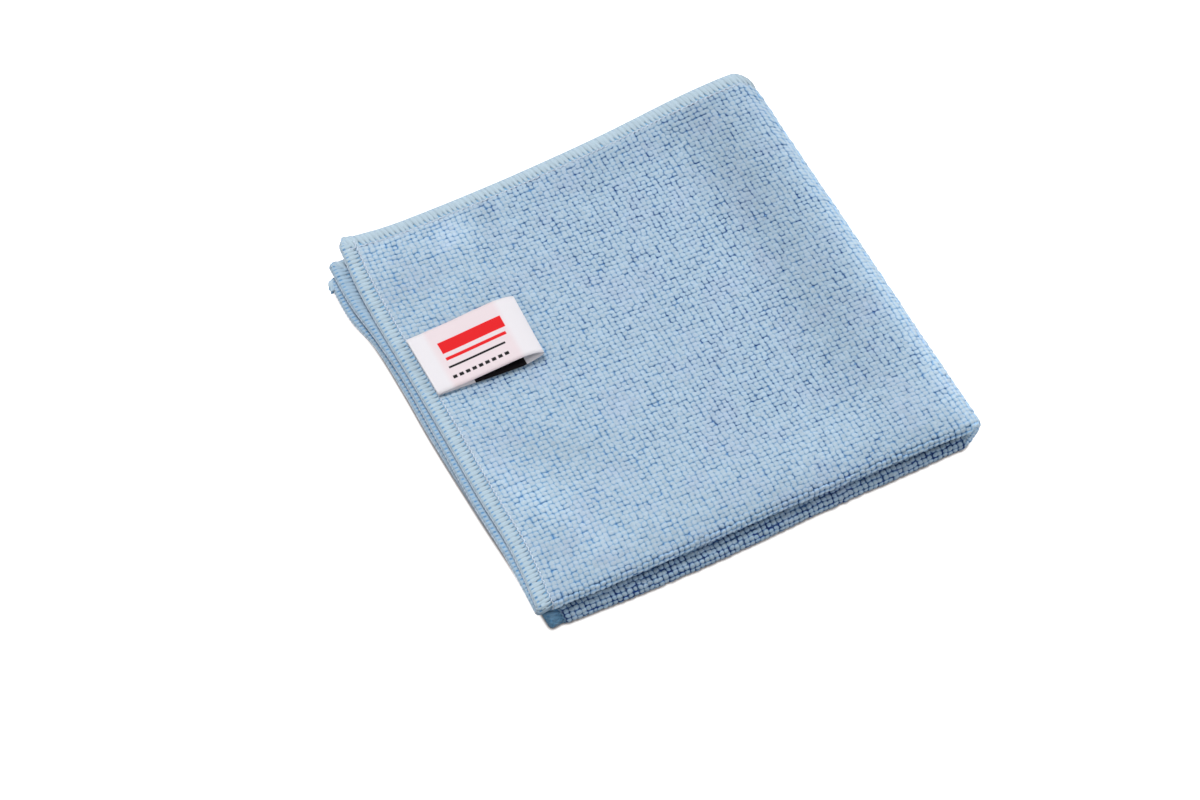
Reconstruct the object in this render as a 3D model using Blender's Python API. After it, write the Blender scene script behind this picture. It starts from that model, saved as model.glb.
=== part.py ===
"""A microfibre cloth folded in quarters, with a looped satin label sewn into its left edge.

Frame: metres, +Z up. The cloth lies on z = 0 and its bounding box is centred on the origin.
+X runs along the front fold, +Y along the open left edge.

The cloth is one square sheet. Its first fold makes the two hairpins of the front edge, and its second
fold wraps the outer layer round the inner one at the right edge. The left and the back edges stay open,
with the four layers a little apart and a little out of line with each other.
"""

from math import cos, exp, pi, radians, sin
from typing import NamedTuple

import bmesh
import bpy

MM = 0.001

# The sheet and its stack of layers.
SHEET_THICKNESS = 2.6 * MM  # with its pile
PAIR_PITCH = 3.2 * MM  # from a layer to its neighbour across a front hairpin
MIDDLE_PITCH = 3.4 * MM  # from the second layer to the third
WRAP_RADIUS = 6.0 * MM  # of the outer layer's middle, round the right edge
WRAP_SWELL_REACH = 45.0 * MM  # how far the fuller right edge lifts the upper layers
PRESSED_FLAT = 0.02 * MM  # points as low as this lie on the surface

# The folded square, between the outer faces of its folds and the straight lines of its open edges.
LEFT = -85.4 * MM
RIGHT = 91.6 * MM
BACK = 87.8 * MM
FRONT = -88.9 * MM
FRONT_CORNER_PULL = 1.8 * MM  # the rounding of the front right corner
BACK_CORNER_PULL = 4.0 * MM  # the rounding of the back right corner

# How finely the sheet is divided.
FLAT_STEPS = 17
WRAP_STEPS = 10
HAIRPIN_STEPS = 7

# The label: a tape folded at its right end, with both ends in the seam.
LABEL_THICKNESS = 0.35 * MM
LABEL_REACH_FRONT = 42.2  # of its front edge from the seam to the fold, in millimetres
LABEL_REACH_BACK = 43.2  # of its back edge
LABEL_BACK = 34.4 * MM
LABEL_FRONT = 7.2 * MM
LABEL_SEAM = 5.4 * MM  # from the cloth's left edge
LABEL_LIFT = 0.75 * MM  # of the lower leaf's middle above the pile
LABEL_STEPS_ACROSS = 6


class EdgeStation(NamedTuple):
    """How far each layer's edge reaches out at one station, in millimetres."""

    along: float
    top: float
    second: float
    third: float
    bottom: float


class FoldStation(NamedTuple):
    """How far the upper and the lower fold reach out at one station, in millimetres."""

    along: float
    upper: float
    lower: float


class Swell(NamedTuple):
    """A long soft mound that lifts the layers, in millimetres and degrees."""

    x: float
    y: float
    turn: float
    half_length: float
    half_width: float
    top: float
    second: float
    third: float


class LabelStation(NamedTuple):
    """One point of the label's side view, in millimetres but for its share of the way to the fold."""

    out: float
    height: float
    twist: float  # extra height of the back edge
    forward: float  # how far the tape has slid to the front


# The open left edge, from the back to the front.
LEFT_EDGE = (
    EdgeStation(0.00, 0.0, 6.2, 8.0, 5.0),
    EdgeStation(0.12, 1.2, 5.8, 7.8, 5.0),
    EdgeStation(0.22, 1.2, 3.8, 4.4, 3.2),
    EdgeStation(0.35, 0.5, 2.0, 3.2, 2.4),
    EdgeStation(0.50, -0.2, 1.7, 2.6, 2.0),
    EdgeStation(0.70, -0.8, 1.5, 0.8, 0.2),
    EdgeStation(0.85, -1.7, 0.3, -0.9, -1.8),
    EdgeStation(1.00, 0.2, 0.5, -2.6, -3.4),
)

# The open back edge, from the left to the right.
BACK_EDGE = (
    EdgeStation(0.0, -0.2, -6.5, -10.5, -8.5),
    EdgeStation(0.1, -1.7, -6.0, -10.0, -8.0),
    EdgeStation(0.2, -1.3, -5.5, -9.0, -7.5),
    EdgeStation(0.4, 0.2, -4.0, -6.5, -5.0),
    EdgeStation(0.6, 2.8, -1.5, -3.5, -1.5),
    EdgeStation(0.8, 6.4, 1.5, 0.0, 3.0),
    EdgeStation(1.0, 6.4, 3.0, 3.0, 5.2),
)

# The folded front edge, from the left to the right.
FRONT_EDGE = (
    FoldStation(0.0, 1.6, 4.8),
    FoldStation(0.2, 1.4, 5.6),
    FoldStation(0.4, 0.3, 5.0),
    FoldStation(0.6, -0.3, 3.0),
    FoldStation(0.8, -0.4, 1.8),
    FoldStation(1.0, 1.2, 0.6),
)

# The folded right edge, from the back to the front.
RIGHT_EDGE = (
    FoldStation(0.0, -0.8, -1.2),
    FoldStation(0.5, 0.8, 0.6),
    FoldStation(0.8, 1.6, 1.0),
    FoldStation(1.0, 2.8, 1.0),
)

# The soft mounds of the upper layers.
SWELLS = (
    Swell(-81.0, 86.0, 0.0, 24.0, 16.0, 1.4, 0.6, 0.1),
    Swell(-61.0, -50.0, -62.0, 34.0, 7.0, 1.0, 0.5, 0.2),
    Swell(19.0, -72.0, 2.0, 50.0, 11.0, 0.9, 0.6, 0.2),
    Swell(-49.0, 66.0, 20.0, 14.0, 9.0, 0.7, 0.3, 0.1),
    Swell(83.0, 84.0, -40.0, 22.0, 14.0, 0.9, 0.5, 0.1),
)

# The label's side view, out along the upper leaf to the fold and back along the lower leaf.
LABEL_PROFILE = (
    LabelStation(0.00, 0.65, 0.0, 0.0),
    LabelStation(0.18, 1.00, 0.1, 0.0),
    LabelStation(0.36, 1.55, 0.2, 0.0),
    LabelStation(0.54, 2.30, 0.4, 0.0),
    LabelStation(0.70, 3.00, 0.5, 0.0),
    LabelStation(0.82, 3.30, 0.6, 0.0),
    LabelStation(0.91, 3.00, 0.7, 0.1),
    LabelStation(0.97, 2.30, 0.8, 0.2),
    LabelStation(1.00, 1.60, 0.9, 0.3),
    LabelStation(0.98, 0.95, 0.8, 0.6),
    LabelStation(0.91, 0.40, 0.5, 1.0),
    LabelStation(0.80, 0.08, 0.3, 1.4),
    LabelStation(0.62, 0.00, 0.2, 1.2),
    LabelStation(0.42, 0.00, 0.1, 0.8),
    LabelStation(0.20, 0.00, 0.0, 0.3),
    LabelStation(0.00, 0.00, 0.0, 0.0),
)

CLOTH_COLOR = (0.36, 0.50, 0.64, 1.0)
CLOTH_ROUGHNESS = 0.9
LABEL_COLOR = (0.86, 0.85, 0.87, 1.0)
LABEL_ROUGHNESS = 0.4

# Heights of the middles of the layers where the stack is flat, and of the wrap's axis.
HALF_SHEET = SHEET_THICKNESS / 2
THIRD_HEIGHT = HALF_SHEET + PAIR_PITCH
SECOND_HEIGHT = THIRD_HEIGHT + MIDDLE_PITCH
TOP_HEIGHT = SECOND_HEIGHT + PAIR_PITCH
WRAP_HEIGHT = HALF_SHEET + WRAP_RADIUS
WRAP_SWELL = HALF_SHEET + 2 * WRAP_RADIUS - TOP_HEIGHT
WRAP_X = RIGHT - HALF_SHEET - WRAP_RADIUS
HAIRPIN_RADIUS = PAIR_PITCH / 2
HAIRPIN_Y = FRONT + HALF_SHEET + HAIRPIN_RADIUS


def ease(value):
    """Smooth step from 0 to 1, flat at both ends."""
    value = min(max(value, 0.0), 1.0)
    return value * value * (3 - 2 * value)


def curve_value(stations, along, column):
    """Read a table's column at a place between its stations, on a smooth curve, in metres."""
    rows = [(row.along, getattr(row, column)) for row in stations]
    along = min(max(along, rows[0][0]), rows[-1][0])
    index = max(i for i in range(len(rows) - 1) if rows[i][0] <= along)
    (x0, y0), (x1, y1) = rows[index], rows[index + 1]
    before = rows[max(index - 1, 0)]
    after = rows[min(index + 2, len(rows) - 1)]
    slope0 = (y1 - before[1]) / (x1 - before[0])
    slope1 = (after[1] - y0) / (after[0] - x0)
    width = x1 - x0
    t = (along - x0) / width
    hermite = (
        (2 * t**3 - 3 * t**2 + 1) * y0
        + (t**3 - 2 * t**2 + t) * width * slope0
        + (-2 * t**3 + 3 * t**2) * y1
        + (t**3 - t**2) * width * slope1
    )
    return hermite * MM


def blend_layers(top, second, third, bottom, inward, wrapped):
    """Mix four layers' values: inward is 0 on the outer sheet and 1 on the inner one, wrapped is 0 above."""
    upper = top + (second - top) * inward
    lower = bottom + (third - bottom) * inward
    return upper + (lower - upper) * wrapped


def edge_value(stations, along, inward, wrapped):
    """How far an open edge reaches out at one place of the folded sheet."""
    values = [curve_value(stations, along, name) for name in ("top", "second", "third", "bottom")]
    return blend_layers(*values, inward, wrapped)


def fold_value(stations, along, wrapped):
    """How far a folded edge reaches out at one place of the folded sheet."""
    upper = curve_value(stations, along, "upper")
    lower = curve_value(stations, along, "lower")
    return upper + (lower - upper) * wrapped


def swell_lift(x, y, inward, wrapped):
    """Height that the soft mounds and the fuller right edge add to a layer."""
    lift = 0.0
    for swell in SWELLS:
        turn = radians(swell.turn)
        across, up = x / MM - swell.x, y / MM - swell.y
        along = (across * cos(turn) + up * sin(turn)) / swell.half_length
        aside = (up * cos(turn) - across * sin(turn)) / swell.half_width
        mound = exp(-(along**2) - aside**2) * MM
        values = (swell.top, swell.second, swell.third, 0.0)
        lift += mound * blend_layers(*values, inward, wrapped)
    edge = ease(1 - (WRAP_X - x) / WRAP_SWELL_REACH)
    return lift + edge * blend_layers(WRAP_SWELL, WRAP_SWELL, 0.0, 0.0, inward, wrapped)


def front_fold(v):
    """First fold: v runs 0 to 3, back edge, front hairpin from 1 to 2, back edge. Gives (y, depth)."""
    if v <= 1:
        return BACK + (HAIRPIN_Y - BACK) * v, 0.0
    if v >= 2:
        return HAIRPIN_Y + (BACK - HAIRPIN_Y) * (v - 2), PAIR_PITCH
    angle = pi * (v - 1)
    return HAIRPIN_Y - HAIRPIN_RADIUS * sin(angle), HAIRPIN_RADIUS * (1 - cos(angle))


def sheet_point(u, v):
    """A point of the folded sheet's middle. u runs 0 to 3, with the right wrap from 1 to 2."""
    y, depth = front_fold(v)
    inward = depth / PAIR_PITCH
    radius = WRAP_RADIUS - depth
    wrapped = min(max(u - 1, 0.0), 1.0)
    angle = pi * wrapped
    if u <= 1:
        x = LEFT + (WRAP_X - LEFT) * u
        z = TOP_HEIGHT - depth
    elif u >= 2:
        x = WRAP_X + (LEFT - WRAP_X) * (u - 2)
        z = HALF_SHEET + depth
    else:
        x = WRAP_X + radius * sin(angle)
        z = WRAP_HEIGHT + radius * cos(angle)
    turned = ease(wrapped)
    rightward = min(max((x - LEFT) / (RIGHT - LEFT), 0.0), 1.0)
    forward = min(max((BACK - y) / (BACK - FRONT), 0.0), 1.0)
    if 1 < u < 2:
        lift = swell_lift(WRAP_X, y, inward, turned) - WRAP_SWELL * (1 - turned)
    else:
        lift = swell_lift(x, y, inward, turned)
    left_reach = edge_value(LEFT_EDGE, forward, inward, turned)
    right_reach = fold_value(RIGHT_EDGE, forward, turned)
    back_reach = edge_value(BACK_EDGE, rightward, inward, turned) - BACK_CORNER_PULL * sin(angle)
    front_reach = fold_value(FRONT_EDGE, rightward, turned) - FRONT_CORNER_PULL * sin(angle)
    x += right_reach * rightward**2 - left_reach * (1 - rightward) ** 2
    y += back_reach * (1 - forward) ** 2 - front_reach * forward**2
    return x, y, z + lift


def fold_steps(flat_steps, bend_steps):
    """Fold parameters from 0 to 3, with their own spacing on the flats and in the bend."""
    flat = [i / flat_steps for i in range(flat_steps)]
    bend = [1 + i / bend_steps for i in range(bend_steps)]
    return flat + bend + [2 + value for value in flat] + [3.0]


def grid_object(name, columns, rows, place):
    """Make a grid of columns by rows points, each put where place(column, row) says."""
    mesh = bpy.data.meshes.new(name)
    bm = bmesh.new()
    bmesh.ops.create_grid(bm, x_segments=len(columns) - 1, y_segments=len(rows) - 1, size=1.0)
    for vert in bm.verts:
        column = round((vert.co.x + 1) / 2 * (len(columns) - 1))
        row = round((vert.co.y + 1) / 2 * (len(rows) - 1))
        vert.co = place(columns[column], rows[row])
    bm.to_mesh(mesh)
    bm.free()
    obj = bpy.data.objects.new(name, mesh)
    bpy.context.scene.collection.objects.link(obj)
    return obj


def finish_object(obj, material, thickness):
    """Give a sheet its thickness, smooth shading and material."""
    solid = obj.modifiers.new("thickness", "SOLIDIFY")
    solid.thickness = thickness
    solid.offset = 0.0
    obj.data.materials.append(material)
    obj.data.shade_smooth()


def press_flat(obj):
    """Apply an object's thickness and put its lowest points exactly on the surface."""
    bpy.context.view_layer.update()
    evaluated = obj.evaluated_get(bpy.context.evaluated_depsgraph_get())
    obj.data = bpy.data.meshes.new_from_object(evaluated)
    obj.modifiers.clear()
    for vert in obj.data.vertices:
        if vert.co.z < PRESSED_FLAT:
            vert.co.z = 0.0


def make_material(name, color, roughness):
    """A plain Principled material."""
    material = bpy.data.materials.new(name)
    material.use_nodes = True
    shader = material.node_tree.nodes["Principled BSDF"]
    shader.inputs["Base Color"].default_value = color
    shader.inputs["Roughness"].default_value = roughness
    shader.inputs["Metallic"].default_value = 0.0
    return material


def make_cloth():
    """The square sheet, folded twice."""
    columns = fold_steps(FLAT_STEPS, WRAP_STEPS)
    rows = fold_steps(FLAT_STEPS, HAIRPIN_STEPS)
    cloth = grid_object("cloth", columns, rows, sheet_point)
    finish_object(cloth, make_material("terry", CLOTH_COLOR, CLOTH_ROUGHNESS), SHEET_THICKNESS)
    press_flat(cloth)


def top_surface(x, y):
    """Height of the pile's upper face at a place of the top layer."""
    u = (x - LEFT) / (WRAP_X - LEFT)
    v = (BACK - y) / (BACK - HAIRPIN_Y)
    return sheet_point(u, v)[2] + HALF_SHEET


def label_point(station, across):
    """A point of the label's middle, across running 0 at the front edge to 1 at the back edge."""
    y = LABEL_FRONT + (LABEL_BACK - LABEL_FRONT) * across
    seam_x = sheet_point(0.0, (BACK - y) / (BACK - HAIRPIN_Y))[0] + LABEL_SEAM
    reach = LABEL_REACH_FRONT + (LABEL_REACH_BACK - LABEL_REACH_FRONT) * across
    x = seam_x + station.out * reach * MM
    y -= station.forward * MM
    rise = (station.height + station.twist * across) * MM
    return x, y, top_surface(x, y) + LABEL_LIFT + rise


def make_label():
    """The looped tape, from its upper end in the seam round the fold to its lower end."""
    across = [i / LABEL_STEPS_ACROSS for i in range(LABEL_STEPS_ACROSS + 1)]
    label = grid_object("label", LABEL_PROFILE, across, label_point)
    finish_object(label, make_material("satin", LABEL_COLOR, LABEL_ROUGHNESS), LABEL_THICKNESS)


def main():
    """Clear the scene and build the two pieces."""
    for obj in list(bpy.data.objects):
        bpy.data.objects.remove(obj)
    make_cloth()
    make_label()


main()
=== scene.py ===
"""Looks of a light blue microfibre cloth folded in quarters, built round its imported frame.

Every soft piece follows one square sheet that is folded twice. A place on the sheet is given by how far
it is from the top layer's left edge (a) and back edge (b), measured over the outer face of the folds,
and by its rise above the middle of the sheet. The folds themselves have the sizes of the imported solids.
"""

import logging
from collections.abc import Callable
from dataclasses import dataclass, field
from enum import Enum
from math import cos, pi, radians, sin
from typing import Any, NamedTuple

import bmesh
import bpy
import numpy as np
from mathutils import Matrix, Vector


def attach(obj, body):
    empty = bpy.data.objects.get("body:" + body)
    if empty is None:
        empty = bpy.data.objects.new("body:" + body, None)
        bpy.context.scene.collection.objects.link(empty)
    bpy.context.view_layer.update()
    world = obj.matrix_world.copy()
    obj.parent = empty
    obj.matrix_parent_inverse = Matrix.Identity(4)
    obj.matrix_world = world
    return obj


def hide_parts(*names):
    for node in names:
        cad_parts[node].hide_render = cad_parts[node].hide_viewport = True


MM = 0.001
BODY = "root"
CLOTH_NODE = "cloth"
LABEL_NODE = "label"
PILE_SEED = 20
THREAD_SEED = 21
# The fold parameter at the start and after the first flat length, the bend and the second flat length.
FOLD_PARTS = (0.0, 1.0, 2.0, 3.0)

Array = np.ndarray
Color = tuple[float, float, float, float]
Ends = tuple[float, float]
Rows = tuple[tuple[float, ...], ...]

log = logging.getLogger("folded_cloth")
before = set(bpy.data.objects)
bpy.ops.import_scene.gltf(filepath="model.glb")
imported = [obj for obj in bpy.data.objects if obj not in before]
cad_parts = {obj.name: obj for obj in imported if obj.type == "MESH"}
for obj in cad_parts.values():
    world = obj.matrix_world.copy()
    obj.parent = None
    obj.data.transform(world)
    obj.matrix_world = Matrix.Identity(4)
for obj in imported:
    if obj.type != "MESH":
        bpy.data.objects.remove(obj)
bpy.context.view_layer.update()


class Slot(Enum):
    """The material slots."""

    TERRY = "terry"
    SATIN = "satin"


class Side(Enum):
    """The two faces of the sheet: the outer one shows on the folds."""

    OUTER = 1
    INNER = -1


class Way(Enum):
    """The side of the cloth where a pair of cut edges lies."""

    LEFT = "left"
    BACK = "back"


def paint(red: float, green: float, blue: float) -> Color:
    """Turn a screen colour of 0 to 255 into a linear one."""
    shares = [value / 255 for value in (red, green, blue)]
    linear = [s / 12.92 if s <= 0.04045 else ((s + 0.055) / 1.055) ** 2.4 for s in shares]
    return (linear[0], linear[1], linear[2], 1.0)


def ease(value: Array, start: float = 0.0, reach: float = 1.0) -> Array:
    """Smooth step from 0 at the start to 1 at the end of the reach, flat at both ends."""
    share = np.clip((value - start) / reach, 0.0, 1.0)
    return share * share * (3 - 2 * share)


def mix(first: Array | float, second: Array | float, share: Array) -> Array:
    """Go from a first value to a second one by a share."""
    return first + (second - first) * share


def factors(draw: np.random.Generator, swing: float, count: int) -> Array:
    """Draw a factor round 1 for each copy of a shape."""
    return draw.normal(1.0, swing, (count, 1))


def smooth_curve(along: Array, places: Array, values: Array) -> Array:
    """Read a row of values between its places, on a smooth curve.

    Args:
        along: Where to read, held to the ends of the row.
        places: Where each value stands, in rising order.
        values: The values.

    Returns:
        The value at each place that was asked for.
    """
    along = np.clip(along, places[0], places[-1])
    left = np.clip(np.searchsorted(places, along, side="right") - 1, 0, len(places) - 2)
    right = left + 1
    before = np.maximum(left - 1, 0)
    after = np.minimum(left + 2, len(places) - 1)
    slope_left = (values[right] - values[before]) / (places[right] - places[before])
    slope_right = (values[after] - values[left]) / (places[after] - places[left])
    width = places[right] - places[left]
    t = (along - places[left]) / width
    return (
        (2 * t**3 - 3 * t**2 + 1) * values[left]
        + (t**3 - 2 * t**2 + t) * width * slope_left
        + (-2 * t**3 + 3 * t**2) * values[right]
        + (t**3 - t**2) * width * slope_right
    )


def soft_noise(x: Array, y: Array, pitch: float, seed: int) -> Array:
    """Smooth wandering values between about -1 and 1, the same ones each run.

    Args:
        x: First coordinate, in metres.
        y: Second coordinate, in metres.
        pitch: Rough distance between two bumps, in metres.
        seed: Which pattern.

    Returns:
        One value for each point.
    """
    total = np.zeros(np.broadcast(x, y).shape)
    waves, shortest, spread = 14, 0.8, 0.9
    for turn, shift, stretch in np.random.default_rng(seed).random((waves, 3)):
        heading = 2 * pi * turn
        step = pitch * (shortest + spread * stretch)
        total += np.sin(2 * pi * ((x * cos(heading) + y * sin(heading)) / step + shift))
    return total / np.sqrt(waves)


# ---------------------------------------------------------------------------------------------
# Shader maths


def math_node(operation: str, swapped: bool = False) -> Callable[..., "Wire"]:
    """Make an operator that adds a Math node.

    Args:
        operation: What the node works out.
        swapped: Whether the wire is the second value, as in 1 - wire.

    Returns:
        The operator, which takes a wire and, where it needs one, another value.
    """

    def operator(wire: "Wire", other: Any = 0.0) -> "Wire":
        """Add the node."""
        first, second = (other, wire) if swapped else (wire, other)
        return wire.board.wire("ShaderNodeMath", {"operation": operation}, {0: first, 1: second})

    return operator


class Wire:
    """An output of a node tree that Python expressions can combine with numbers and other wires."""

    __add__, __radd__ = math_node("ADD"), math_node("ADD", swapped=True)
    __sub__, __rsub__ = math_node("SUBTRACT"), math_node("SUBTRACT", swapped=True)
    __mul__, __rmul__ = math_node("MULTIPLY"), math_node("MULTIPLY", swapped=True)
    __truediv__, __rtruediv__ = math_node("DIVIDE"), math_node("DIVIDE", swapped=True)
    sine, size = math_node("SINE"), math_node("ABSOLUTE")
    part = math_node("FRACT")  # what is left past the whole number

    def __init__(self, board: "Board", socket: bpy.types.NodeSocket) -> None:
        """Remember the tree and the socket."""
        self.board = board
        self.socket = socket

    def ripple(self, pitch: float = 1.0) -> "Wire":
        """Even waves from 0 to 1, one for each pitch of the value."""
        return (self * (2 * pi / pitch)).sine() * 0.5 + 0.5

    def ramp(self, low: float, high: float) -> "Wire":
        """Smooth step that is 0 at low and 1 at high."""
        values = {"Value": self, "From Min": low, "From Max": high}
        return self.board.wire("ShaderNodeMapRange", {"interpolation_type": "SMOOTHSTEP"}, values)

    def band(self, low: float, high: float, blur: float) -> "Wire":
        """Soft-edged band that is 1 between low and high."""
        return self.ramp(low - blur, low + blur) * (1 - self.ramp(high - blur, high + blur))


class Board:
    """The node tree of a material or the sky, to which one method adds any node."""

    def __init__(self, owner: bpy.types.ID) -> None:
        """Give the owner an empty tree."""
        self.owner = owner
        owner.use_nodes = True
        self.tree = owner.node_tree
        self.tree.nodes.clear()

    def node(self, kind: str, settings: dict[str, Any], values: dict[Any, Any]) -> bpy.types.Node:
        """Add a node.

        Args:
            kind: The node's type.
            settings: Its settings, which are made first.
            values: What its sockets get: wires, numbers or colours, by name or by number.

        Returns:
            The node.
        """
        node = self.tree.nodes.new(kind)
        for name, value in settings.items():
            setattr(node, name, value)
        for key, value in values.items():
            if isinstance(value, Wire):
                self.tree.links.new(value.socket, node.inputs[key])
            else:
                node.inputs[key].default_value = value
        return node

    def wire(self, kind: str, settings: dict[str, Any], values: dict[Any, Any], output: Any = 0) -> Wire:
        """Add a node as node() does and take one of its outputs, by name or by number."""
        return Wire(self, self.node(kind, settings, values).outputs[output])

    def attribute(self, name: str) -> Wire:
        """Read a number that the mesh carries at each point."""
        return self.wire("ShaderNodeAttribute", {"attribute_name": name}, {}, "Fac")

    def noise(self, size: float, detail: float = 2.0) -> Wire:
        """Noise on Object coordinates.

        Args:
            size: How big its bumps are, in metres.
            detail: How many finer layers it has.

        Returns:
            The noise, from 0 to 1.
        """
        spot = self.wire("ShaderNodeTexCoord", {}, {}, "Object")
        values = {"Vector": spot, "Scale": 1 / size, "Detail": detail, "Roughness": 0.6}
        return self.wire("ShaderNodeTexNoise", {}, values)

    def blend(self, share: Wire, first: Color | Wire, second: Color | Wire) -> Wire:
        """Mix two colours, by the share of the second one."""
        values = {0: share, 6: first, 7: second}
        return self.wire("ShaderNodeMix", {"data_type": "RGBA"}, values, 2)

    def shade(self, color: Wire, amount: Wire) -> Wire:
        """Make a colour darker or lighter by a factor round 1."""
        values = {0: color, 1: amount}
        return self.wire("ShaderNodeVectorMath", {"operation": "MULTIPLY"}, values)

    def bump(self, height: Wire, distance: float, strength: float) -> Wire:
        """Turn a height from 0 to 1 into a surface direction."""
        values = {"Height": height, "Distance": distance, "Strength": strength}
        return self.wire("ShaderNodeBump", {}, values)

    def by_ray(self, thrown: Wire, shown: Wire) -> Wire:
        """Join a shader that lights the cloth and one that the picture shows."""
        seen = self.wire("ShaderNodeLightPath", {}, {}, "Is Camera Ray")
        return self.wire("ShaderNodeMixShader", {}, {0: seen, 1: thrown, 2: shown})

    def principled(self, values: dict[str, Any]) -> Wire:
        """Add a Principled shader."""
        return self.wire("ShaderNodeBsdfPrincipled", {}, values)

    def close(self, shader: Wire, end: str = "ShaderNodeOutputMaterial") -> Any:
        """Join a shader to the tree's end and return the material or sky."""
        self.node(end, {}, {"Surface": shader})
        return self.owner


# ---------------------------------------------------------------------------------------------
# Finishes


@dataclass(frozen=True)
class PileFinish:
    """Short looped pile: light on the tufts, with painted shade that makes it bluer between them and deep
    blue in the shaded gaps.
    """

    name: str = "pile"
    crest: Color = paint(180, 197, 210)
    flank: Color = paint(140, 178, 210)
    foot: Color = paint(82, 134, 188)
    gap: Color = paint(14, 56, 128)
    violet: Color = paint(170, 184, 211)
    sheen: Color = paint(214, 230, 245)
    # How far up a tuft one colour gives way to the next, in its painted shade from top to foot and in the
    # gaps.
    foot_ends: Ends = (0.25, 0.70)
    crest_ends: Ends = (0.62, 1.04)
    gap_ends: Ends = (0.15, 0.90)
    gap_shade_crest: float = 0.10  # how much bluer the tops are where painted shade darkens the gaps
    violet_size: float = 16 * MM
    violet_ends: Ends = (0.45, 0.75)
    violet_share: float = 0.35
    # How much each of these brightens or darkens a tuft: the brushing tone with painted light and shade, at
    # the foot and up the tuft, then random tone, mottling and fibres.
    nap_and_light_foot: float = 0.4
    nap_and_light_rise: float = 0.7
    tone_swing: float = 0.12
    mottle_swing: float = 0.05
    mottle_size: float = 7 * MM
    fibre_swing: float = 0.12
    fibre_size: float = 0.35 * MM

    def material(self) -> bpy.types.Material:
        """Build the material."""
        board = Board(bpy.data.materials.new(self.name))
        rise, gap_shade_share = board.attribute("rise"), board.attribute("gap_shade")
        # Painted shade: the tufts turn bluer and darker from their tops down to their feet, and the gaps
        # between them turn deep blue.
        low = board.blend(rise.ramp(*self.foot_ends), self.foot, self.flank)
        top = board.blend(gap_shade_share * self.gap_shade_crest, self.crest, self.flank)
        color = board.blend(rise.ramp(*self.crest_ends), low, top)
        cast = board.noise(self.violet_size).ramp(*self.violet_ends) * rise * self.violet_share
        color = board.blend(cast, color, self.violet)
        color = board.blend((1.0 - rise.ramp(*self.gap_ends)) * gap_shade_share, color, self.gap)
        fibre = board.noise(self.fibre_size, 3.0)
        # The brushing tone with its painted light and shade, then random tone, mottling and fibres.
        amount = (
            1.0
            + board.attribute("nap_and_painted_light") * (rise * self.nap_and_light_rise + self.nap_and_light_foot)
            + (board.attribute("tone") - 0.5) * self.tone_swing
            + (board.noise(self.mottle_size) - 0.5) * self.mottle_swing
            + (fibre - 0.5) * self.fibre_swing
        )
        values = {
            "Base Color": board.shade(color, amount),
            "Roughness": 0.95,
            "Specular IOR Level": 0.15,
            "Sheen Weight": 0.22,
            "Sheen Roughness": 0.6,
            "Sheen Tint": self.sheen,
            "Normal": board.bump(fibre, 0.25 * MM, 0.5),
        }
        return board.close(board.principled(values))


@dataclass(frozen=True)
class GroundFinish:
    """The knitted ground under the pile, in fine ribs, paler where the seam flattens it and with painted
    light under the stitches.
    """

    name: str = "ground_knit"
    rib: Color = paint(108, 156, 204)
    groove: Color = paint(80, 132, 188)
    verge: Color = paint(146, 176, 210)
    seam: Color = paint(130, 182, 220)
    # Between how many millimetres from the cut edge the seam and then the bare verge end.
    seam_ends: Ends = (5.3, 5.8)
    verge_ends: Ends = (6.9, 8.3)
    rib_pitch: float = 0.9 * MM
    rib_share: float = 0.6
    grain_size: float = 0.5 * MM
    grain_share: float = 0.4

    def material(self) -> bpy.types.Material:
        """Build the material."""
        board = Board(bpy.data.materials.new(self.name))
        ribs = board.attribute("across").ripple(self.rib_pitch)
        height = ribs * self.rib_share + board.noise(self.grain_size, 3.0) * self.grain_share
        inward = board.attribute("inward")
        color = board.blend(height, self.groove, self.rib)
        color = board.blend(inward.ramp(*self.verge_ends), self.verge, color)
        # Painted light: paler under the seam, where the ground shows between the stitches.
        color = board.blend(inward.ramp(*self.seam_ends), self.seam, color)
        values = {
            "Base Color": color,
            "Roughness": 0.95,
            "Specular IOR Level": 0.1,
            "Sheen Weight": 0.15,
            "Normal": board.bump(height, 0.2 * MM, 0.6),
        }
        return board.close(board.principled(values))


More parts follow.
